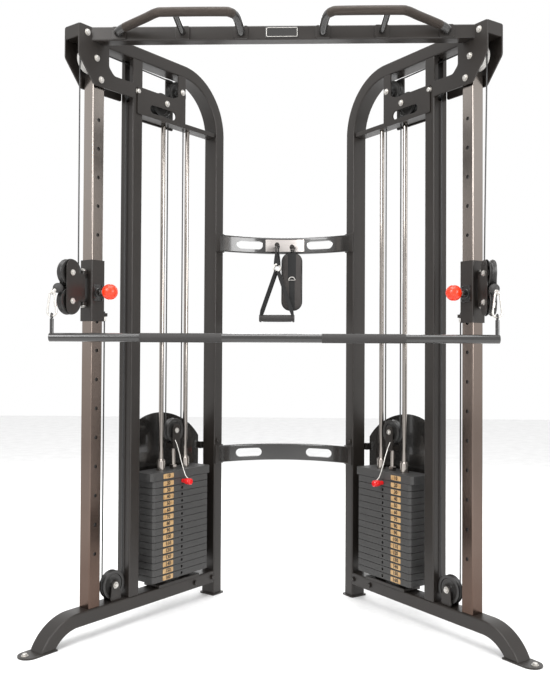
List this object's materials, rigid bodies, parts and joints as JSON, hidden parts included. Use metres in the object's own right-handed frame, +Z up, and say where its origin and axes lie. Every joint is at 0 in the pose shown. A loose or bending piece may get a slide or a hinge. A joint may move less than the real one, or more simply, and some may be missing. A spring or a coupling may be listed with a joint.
{
  "type": "functional trainer",
  "caption": "Two-tower cable gym machine in a V: pinned weight stacks, height-adjustable swivel pulleys, pull-up grips, and a long bar hung from both cables.",
  "frame": {"origin": "on the floor, under the middle of the footprint", "axes": "+X to the right as seen by the user who faces the machine, +Y away from the user towards the rear uprights, +Z up"},
  "size_m": [1.6692, 0.8525, 2.1005],
  "materials": {
    "frame_paint": "satin powder coat",
    "black_gloss": "gloss",
    "chrome": "polished",
    "plate_iron": "textured",
    "pulley_black": "satin",
    "pulley_grey": "satin",
    "cable_sheath": "satin",
    "red_plastic": "gloss",
    "zinc": "bright zinc",
    "ball_rubber": "matt",
    "grip_bronze": "knurled satin",
    "webbing": "woven"
  },
  "bodies": {
    "frame": {"top_beam": "frame_paint", "left_pull_up_bar": "grip_bronze", "right_pull_up_bar": "grip_bronze", "upper_crossmember": "black_gloss", "lower_crossmember": "black_gloss", "left_base_rail": "frame_paint", "left_rear_upright": "frame_paint", "left_mid_upright": "frame_paint", "left_front_upright": "chrome", "left_top_gusset": "frame_paint", "left_guide_rods": "chrome", "left_stack_shroud": "black_gloss", "left_weight_plates": "plate_iron", "left_cable": "cable_sheath", "right_base_rail": "frame_paint", "right_rear_upright": "frame_paint", "right_mid_upright": "frame_paint", "right_front_upright": "chrome", "right_top_gusset": "frame_paint", "right_guide_rods": "chrome", "right_stack_shroud": "black_gloss", "right_weight_plates": "plate_iron", "right_cable": "cable_sheath"},
    "left_carriage": {"left_carriage_sleeve": "frame_paint"},
    "left_pin": {"left_pull_pin": "red_plastic"},
    "left_bracket": {"left_swivel_bracket": "frame_paint"},
    "left_upper_pulley": {"left_upper_carriage_pulley": "pulley_black"},
    "left_lower_pulley": {"left_lower_carriage_pulley": "pulley_black"},
    "left_end": {"left_cable_end": "ball_rubber"},
    "left_hook": {"left_carabiner": "zinc"},
    "left_stack": {"left_head_plate": "plate_iron", "left_pin_lanyard": "cable_sheath"},
    "left_selector": {"left_selector_pin": "red_plastic"},
    "left_top_front_pulley_body": {"left_top_front_pulley": "pulley_grey"},
    "left_top_rear_pulley_body": {"left_top_rear_pulley": "pulley_black"},
    "left_top_inner_pulley_body": {"left_top_inner_pulley": "pulley_black"},
    "left_return_pulley_body": {"left_return_pulley": "pulley_black"},
    "left_floating_pulley_body": {"left_floating_pulley": "pulley_black"},
    "left_bottom_pulley_body": {"left_bottom_pulley": "pulley_black"},
    "right_carriage": {"right_carriage_sleeve": "frame_paint"},
    "right_pin": {"right_pull_pin": "red_plastic"},
    "right_bracket": {"right_swivel_bracket": "frame_paint"},
    "right_upper_pulley": {"right_upper_carriage_pulley": "pulley_black"},
    "right_lower_pulley": {"right_lower_carriage_pulley": "pulley_black"},
    "right_end": {"right_cable_end": "ball_rubber"},
    "right_hook": {"right_carabiner": "zinc"},
    "right_stack": {"right_head_plate": "plate_iron", "right_pin_lanyard": "cable_sheath"},
    "right_selector": {"right_selector_pin": "red_plastic"},
    "right_top_front_pulley_body": {"right_top_front_pulley": "pulley_grey"},
    "right_top_rear_pulley_body": {"right_top_rear_pulley": "pulley_black"},
    "right_top_inner_pulley_body": {"right_top_inner_pulley": "pulley_black"},
    "right_return_pulley_body": {"right_return_pulley": "pulley_black"},
    "right_floating_pulley_body": {"right_floating_pulley": "pulley_black"},
    "right_bottom_pulley_body": {"right_bottom_pulley": "pulley_black"},
    "bar": {"long_bar": "black_gloss"},
    "front_handle_body": {"front_handle": "webbing"},
    "rear_handle_body": {"rear_handle": "webbing"},
    "ankle_cuff_body": {"ankle_cuff": "webbing"}
  },
  "joints": [
    {"name": "left_carriage_slide", "type": "slide", "parent": "frame", "child": "left_carriage", "axis": [0, 0, 1], "range_m": [-0.9, 0.6], "deforming": ["left_cable"]},
    {"name": "left_pin_pull", "type": "slide", "parent": "left_carriage", "child": "left_pin", "axis": [0.8166, -0.5771, 0], "range_m": [0, 0.012], "stiffness_N_per_m": 900, "springref_m": -0.004},
    {"name": "left_swivel", "type": "hinge", "parent": "left_carriage", "child": "left_bracket", "pos_m": [-0.68024, -0.2228, 1.197], "axis": [0, 0, 1], "range_deg": [-10, 10]},
    {"name": "left_pull", "type": "slide", "parent": "left_bracket", "child": "left_end", "axis": [0, -0.866, -0.5], "range_m": [0, 0.6]},
    {"name": "left_hook_turn", "type": "hinge", "parent": "left_end", "child": "left_hook", "pos_m": [-0.74974, -0.34318, 1.176], "axis": [0, 0, 1], "range_deg": [-12, 12]},
    {"name": "left_stack_lift", "type": "slide", "parent": "frame", "child": "left_stack", "axis": [0, 0, 1], "range_m": [0, 0.5]},
    {"name": "left_selector_pull", "type": "slide", "parent": "left_stack", "child": "left_selector", "axis": [0.8166, -0.5771, 0], "range_m": [0, 0.11]},
    {"name": "left_upper_pulley_spin", "type": "hinge", "parent": "left_bracket", "child": "left_upper_pulley", "pos_m": [-0.71224, -0.27822, 1.245], "axis": [-0.866, 0.5, 0], "range_deg": [-900, 900]},
    {"name": "left_lower_pulley_spin", "type": "hinge", "parent": "left_bracket", "child": "left_lower_pulley", "pos_m": [-0.71224, -0.27822, 1.149], "axis": [-0.866, 0.5, 0], "range_deg": [-900, 900]},
    {"name": "left_top_front_spin", "type": "hinge", "parent": "frame", "child": "left_top_front_pulley_body", "pos_m": [-0.6687, -0.20647, 1.99], "axis": [-0.8166, 0.5771, 0], "range_deg": [-900, 900]},
    {"name": "left_top_rear_spin", "type": "hinge", "parent": "frame", "child": "left_top_rear_pulley_body", "pos_m": [-0.42226, 0.14224, 1.98], "axis": [-0.8166, 0.5771, 0], "range_deg": [-900, 900]},
    {"name": "left_floating_spin", "type": "hinge", "parent": "left_stack", "child": "left_floating_pulley_body", "pos_m": [-0.42226, 0.14224, 0.677], "axis": [-0.8166, 0.5771, 0], "range_deg": [-900, 900]},
    {"name": "left_top_inner_spin", "type": "hinge", "parent": "frame", "child": "left_top_inner_pulley_body", "pos_m": [-0.47074, 0.07364, 1.916], "axis": [-0.8166, 0.5771, 0], "range_deg": [-1800, 1800]},
    {"name": "left_return_spin", "type": "hinge", "parent": "frame", "child": "left_return_pulley_body", "pos_m": [-0.55385, -0.04395, 1.928], "axis": [-0.8166, 0.5771, 0], "range_deg": [-1800, 1800]},
    {"name": "left_bottom_spin", "type": "hinge", "parent": "frame", "child": "left_bottom_pulley_body", "pos_m": [-0.59771, -0.10602, 0.153], "axis": [-0.8166, 0.5771, 0], "range_deg": [-1800, 1800]},
    {"name": "right_carriage_slide", "type": "slide", "parent": "frame", "child": "right_carriage", "axis": [0, 0, 1], "range_m": [-0.9, 0.6], "deforming": ["right_cable"]},
    {"name": "right_pin_pull", "type": "slide", "parent": "right_carriage", "child": "right_pin", "axis": [-0.8166, -0.5771, 0], "range_m": [0, 0.012], "stiffness_N_per_m": 900, "springref_m": -0.004},
    {"name": "right_swivel", "type": "hinge", "parent": "right_carriage", "child": "right_bracket", "pos_m": [0.68024, -0.2228, 1.197], "axis": [0, 0, 1], "range_deg": [-10, 10]},
    {"name": "right_pull", "type": "slide", "parent": "right_bracket", "child": "right_end", "axis": [0, -0.866, -0.5], "range_m": [0, 0.6]},
    {"name": "right_hook_turn", "type": "hinge", "parent": "right_end", "child": "right_hook", "pos_m": [0.69959, -0.36045, 1.176], "axis": [0, 0, 1], "range_deg": [-12, 12]},
    {"name": "right_stack_lift", "type": "slide", "parent": "frame", "child": "right_stack", "axis": [0, 0, 1], "range_m": [0, 0.5]},
    {"name": "right_selector_pull", "type": "slide", "parent": "right_stack", "child": "right_selector", "axis": [-0.8166, -0.5771, 0], "range_m": [0, 0.11]},
    {"name": "right_upper_pulley_spin", "type": "hinge", "parent": "right_bracket", "child": "right_upper_pulley", "pos_m": [0.68915, -0.28618, 1.245], "axis": [0.9903, 0.1392, 0], "range_deg": [-900, 900]},
    {"name": "right_lower_pulley_spin", "type": "hinge", "parent": "right_bracket", "child": "right_lower_pulley", "pos_m": [0.68915, -0.28618, 1.149], "axis": [0.9903, 0.1392, 0], "range_deg": [-900, 900]},
    {"name": "right_top_front_spin", "type": "hinge", "parent": "frame", "child": "right_top_front_pulley_body", "pos_m": [0.6687, -0.20647, 1.99], "axis": [0.8166, 0.5771, 0], "range_deg": [-900, 900]},
    {"name": "right_top_rear_spin", "type": "hinge", "parent": "frame", "child": "right_top_rear_pulley_body", "pos_m": [0.42226, 0.14224, 1.98], "axis": [0.8166, 0.5771, 0], "range_deg": [-900, 900]},
    {"name": "right_floating_spin", "type": "hinge", "parent": "right_stack", "child": "right_floating_pulley_body", "pos_m": [0.42226, 0.14224, 0.677], "axis": [0.8166, 0.5771, 0], "range_deg": [-900, 900]},
    {"name": "right_top_inner_spin", "type": "hinge", "parent": "frame", "child": "right_top_inner_pulley_body", "pos_m": [0.47074, 0.07364, 1.916], "axis": [0.8166, 0.5771, 0], "range_deg": [-1800, 1800]},
    {"name": "right_return_spin", "type": "hinge", "parent": "frame", "child": "right_return_pulley_body", "pos_m": [0.55385, -0.04395, 1.928], "axis": [0.8166, 0.5771, 0], "range_deg": [-1800, 1800]},
    {"name": "right_bottom_spin", "type": "hinge", "parent": "frame", "child": "right_bottom_pulley_body", "pos_m": [0.59771, -0.10602, 0.153], "axis": [0.8166, 0.5771, 0], "range_deg": [-1800, 1800]},
    {"name": "long_bar_swing", "type": "hinge", "parent": "left_hook", "child": "bar", "pos_m": [-0.74974, -0.34318, 1.096], "axis": [0.9999, -0.0119, 0], "range_deg": [-60, 25]},
    {"name": "front_handle_swing", "type": "hinge", "parent": "frame", "child": "front_handle_body", "pos_m": [-0.03, 0.3223, 1.418], "axis": [0, 1, 0], "range_deg": [-25, 25]},
    {"name": "rear_handle_swing", "type": "hinge", "parent": "frame", "child": "rear_handle_body", "pos_m": [-0.03, 0.3553, 1.418], "axis": [0, 1, 0], "range_deg": [-25, 25]},
    {"name": "ankle_cuff_swing", "type": "hinge", "parent": "frame", "child": "ankle_cuff_body", "pos_m": [0.03, 0.3833, 1.418], "axis": [0, 1, 0], "range_deg": [-4, 20]}
  ],
  "couplings": [
    {"joint": "left_upper_pulley_spin", "follows": "left_pull", "rad_per_m": 23.809},
    {"joint": "left_lower_pulley_spin", "follows": "left_pull", "rad_per_m": -23.809},
    {"joint": "left_top_front_spin", "follows": "left_pull", "rad_per_m": -23.809},
    {"joint": "left_top_rear_spin", "follows": "left_pull", "rad_per_m": -23.809},
    {"joint": "left_floating_spin", "follows": "left_pull", "rad_per_m": -11.905},
    {"joint": "left_stack_lift", "follows": "left_pull", "ratio": 0.5},
    {"joint": "left_top_inner_spin", "follows": "left_carriage_slide", "rad_per_m": -23.809},
    {"joint": "left_return_spin", "follows": "left_carriage_slide", "rad_per_m": -33.333},
    {"joint": "left_bottom_spin", "follows": "left_carriage_slide", "rad_per_m": 21.739},
    {"joint": "right_upper_pulley_spin", "follows": "left_pull", "rad_per_m": -23.809},
    {"joint": "right_lower_pulley_spin", "follows": "left_pull", "rad_per_m": 23.809},
    {"joint": "right_top_front_spin", "follows": "left_pull", "rad_per_m": 23.809},
    {"joint": "right_top_rear_spin", "follows": "left_pull", "rad_per_m": 23.809},
    {"joint": "right_floating_spin", "follows": "left_pull", "rad_per_m": 11.905},
    {"joint": "right_stack_lift", "follows": "left_pull", "ratio": 0.5},
    {"joint": "right_top_inner_spin", "follows": "left_carriage_slide", "rad_per_m": 23.809},
    {"joint": "right_return_spin", "follows": "left_carriage_slide", "rad_per_m": 33.333},
    {"joint": "right_bottom_spin", "follows": "left_carriage_slide", "rad_per_m": -21.739},
    {"joint": "right_carriage_slide", "follows": "left_carriage_slide", "ratio": 1},
    {"joint": "right_pull", "follows": "left_pull", "ratio": 1},
    {"joint": "right_swivel", "follows": "left_swivel", "ratio": 1},
    {"joint": "left_hook_turn", "follows": "left_swivel", "ratio": -0.9387},
    {"joint": "right_hook_turn", "follows": "left_swivel", "ratio": -0.9387}
  ]
}
